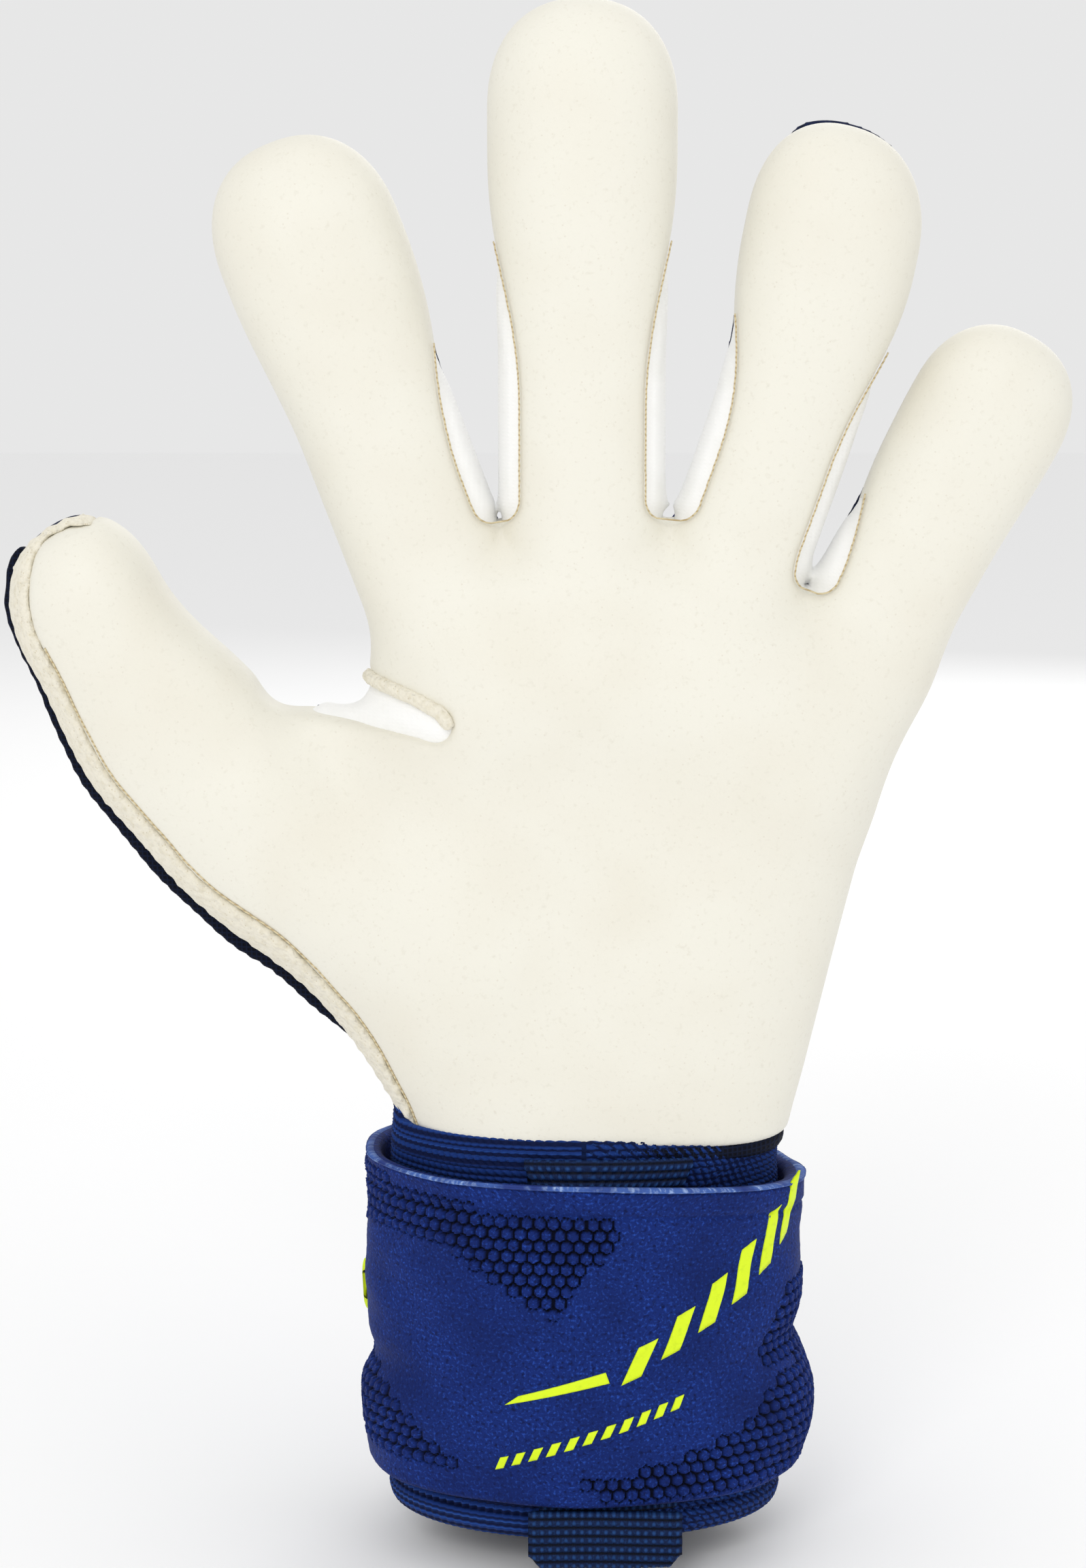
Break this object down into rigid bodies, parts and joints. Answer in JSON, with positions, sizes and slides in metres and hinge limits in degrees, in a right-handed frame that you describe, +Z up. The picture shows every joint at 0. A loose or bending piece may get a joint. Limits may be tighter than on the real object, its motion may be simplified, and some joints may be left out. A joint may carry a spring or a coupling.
{
  "type": "goalkeeper glove",
  "caption": "Left goalkeeper glove with padded latex palm, rolled fingertips, flexing stayed fingers, backhand, elastic cuff and wrap-round wrist strap.",
  "frame": {"origin": "middle of the hand opening, at the rim of the cuff", "axes": "+Z up the fingers, palm faces -Y, thumb on the -X side"},
  "size_m": [0.1939, 0.0694, 0.2808],
  "materials": {
    "palm_latex": "soft matt latex foam",
    "edge_latex": "fuzzy cut edge of latex foam",
    "gusset": "bright white stretch gusset",
    "backhand": "fine knit over neoprene",
    "dark_trim": "dark navy woven binding",
    "punch_pad": "matt moulded rubber",
    "lining": "soft knitted lining",
    "support_stay": "smooth matt",
    "bandage": "ribbed elastic knit",
    "webbing": "coarse woven webbing",
    "strap": "brushed neoprene",
    "loop": "looped pile",
    "hook": "fine plastic hooks",
    "print": "neon yellow rubberised print",
    "seam_thread": "twisted seam thread"
  },
  "bodies": {
    "cuff": {"wrist_bandage": "bandage", "cuff_hem": "bandage", "webbing_strip": "webbing", "strap_wrap": "strap", "loop_pad": "loop"},
    "pull_tab": {"pull_tab": "webbing"},
    "strap_tail": {"strap_tail": "strap"},
    "strap_end": {"strap_end": "strap", "hook_pad": "hook", "strap_finger_tab": "print"},
    "hand": {"palm_latex": "palm_latex", "palm_edge_strip": "edge_latex", "palm_binding": "dark_trim", "backhand_panel": "backhand", "hand_lining": "lining", "knuckle_pad": "punch_pad", "finger_web_gussets": "gusset", "thumb_web_gusset": "gusset", "stay_roots": "support_stay"},
    "index_lower": {"index_lower_latex": "palm_latex", "index_lower_gusset": "gusset", "index_lower_back": "dark_trim", "index_lower_stay": "support_stay"},
    "index_tip": {"index_upper_latex": "palm_latex", "index_upper_back": "dark_trim", "index_upper_stay": "support_stay"},
    "middle_lower": {"middle_lower_latex": "palm_latex", "middle_lower_gusset": "gusset", "middle_lower_back": "dark_trim", "middle_lower_stay": "support_stay"},
    "middle_tip": {"middle_upper_latex": "palm_latex", "middle_upper_back": "dark_trim", "middle_upper_stay": "support_stay"},
    "ring_lower": {"ring_lower_latex": "palm_latex", "ring_lower_gusset": "gusset", "ring_lower_back": "dark_trim", "ring_lower_stay": "support_stay"},
    "ring_tip": {"ring_upper_latex": "palm_latex", "ring_upper_back": "dark_trim", "ring_upper_stay": "support_stay"},
    "little_lower": {"little_lower_latex": "palm_latex", "little_lower_gusset": "gusset", "little_lower_back": "dark_trim", "little_lower_stay": "support_stay"},
    "little_tip": {"little_upper_latex": "palm_latex", "little_upper_back": "dark_trim", "little_upper_stay": "support_stay"},
    "thumb_lower": {"thumb_lower_latex": "palm_latex", "thumb_lower_edge_strip": "edge_latex", "thumb_lower_back": "dark_trim", "thumb_lower_stay": "support_stay"},
    "thumb_tip": {"thumb_upper_latex": "palm_latex", "thumb_upper_edge_strip": "edge_latex", "thumb_upper_back": "dark_trim", "thumb_upper_stay": "support_stay"}
  },
  "joints": [
    {"name": "wrist_bend", "type": "hinge", "parent": "cuff", "child": "hand", "pos_m": [0, 0, 0.066], "axis": [1, 0, 0], "range_deg": [-12, 12], "stiffness_Nm_per_rad": 1},
    {"name": "index_knuckle", "type": "hinge", "parent": "hand", "child": "index_lower", "pos_m": [-0.03291, 0, 0.19148], "axis": [0.9348, 0, 0.3551], "range_deg": [0, 50], "stiffness_Nm_per_rad": 0.05},
    {"name": "index_middle_joint", "type": "hinge", "parent": "index_lower", "child": "index_tip", "pos_m": [-0.04249, 0, 0.21672], "axis": [0.9348, 0, 0.3551], "range_deg": [0, 55], "stiffness_Nm_per_rad": 0.04},
    {"name": "middle_knuckle", "type": "hinge", "parent": "hand", "child": "middle_lower", "pos_m": [-0.0008, 0, 0.1984], "axis": [1, 0, 0], "range_deg": [0, 50], "stiffness_Nm_per_rad": 0.05},
    {"name": "middle_middle_joint", "type": "hinge", "parent": "middle_lower", "child": "middle_tip", "pos_m": [-0.0008, 0, 0.2284], "axis": [1, 0, 0], "range_deg": [0, 55], "stiffness_Nm_per_rad": 0.04},
    {"name": "ring_knuckle", "type": "hinge", "parent": "hand", "child": "ring_lower", "pos_m": [0.03115, 0, 0.19365], "axis": [0.9681, 0, -0.2504], "range_deg": [0, 50], "stiffness_Nm_per_rad": 0.05},
    {"name": "ring_middle_joint", "type": "hinge", "parent": "ring_lower", "child": "ring_tip", "pos_m": [0.03766, 0, 0.21882], "axis": [0.9681, 0, -0.2504], "range_deg": [0, 55], "stiffness_Nm_per_rad": 0.04},
    {"name": "little_knuckle", "type": "hinge", "parent": "hand", "child": "little_lower", "pos_m": [0.05657, 0, 0.17579], "axis": [0.8788, 0, -0.4772], "range_deg": [0, 50], "stiffness_Nm_per_rad": 0.05},
    {"name": "little_middle_joint", "type": "hinge", "parent": "little_lower", "child": "little_tip", "pos_m": [0.06659, 0, 0.19424], "axis": [0.8788, 0, -0.4772], "range_deg": [0, 55], "stiffness_Nm_per_rad": 0.04},
    {"name": "thumb_knuckle", "type": "hinge", "parent": "hand", "child": "thumb_lower", "pos_m": [-0.06629, 0, 0.13768], "axis": [0.809, 0, 0.5878], "range_deg": [0, 40], "stiffness_Nm_per_rad": 0.05},
    {"name": "thumb_middle_joint", "type": "hinge", "parent": "thumb_lower", "child": "thumb_tip", "pos_m": [-0.08216, 0, 0.15952], "axis": [0.809, 0, 0.5878], "range_deg": [0, 50], "stiffness_Nm_per_rad": 0.04},
    {"name": "strap_peel", "type": "hinge", "parent": "cuff", "child": "strap_tail", "pos_m": [0.03916, 0.02309, 0.0375], "axis": [0, 0, -1], "range_deg": [0, 60]},
    {"name": "strap_end_peel", "type": "hinge", "parent": "strap_tail", "child": "strap_end", "pos_m": [0.00999, 0.03673, 0.0375], "axis": [0, 0, -1], "range_deg": [0, 75]},
    {"name": "pull_tab_lift", "type": "hinge", "parent": "cuff", "child": "pull_tab", "pos_m": [0.0035, -0.0279, 0.0067], "axis": [-1, 0, 0], "range_deg": [0, 60], "stiffness_Nm_per_rad": 0.005}
  ]
}
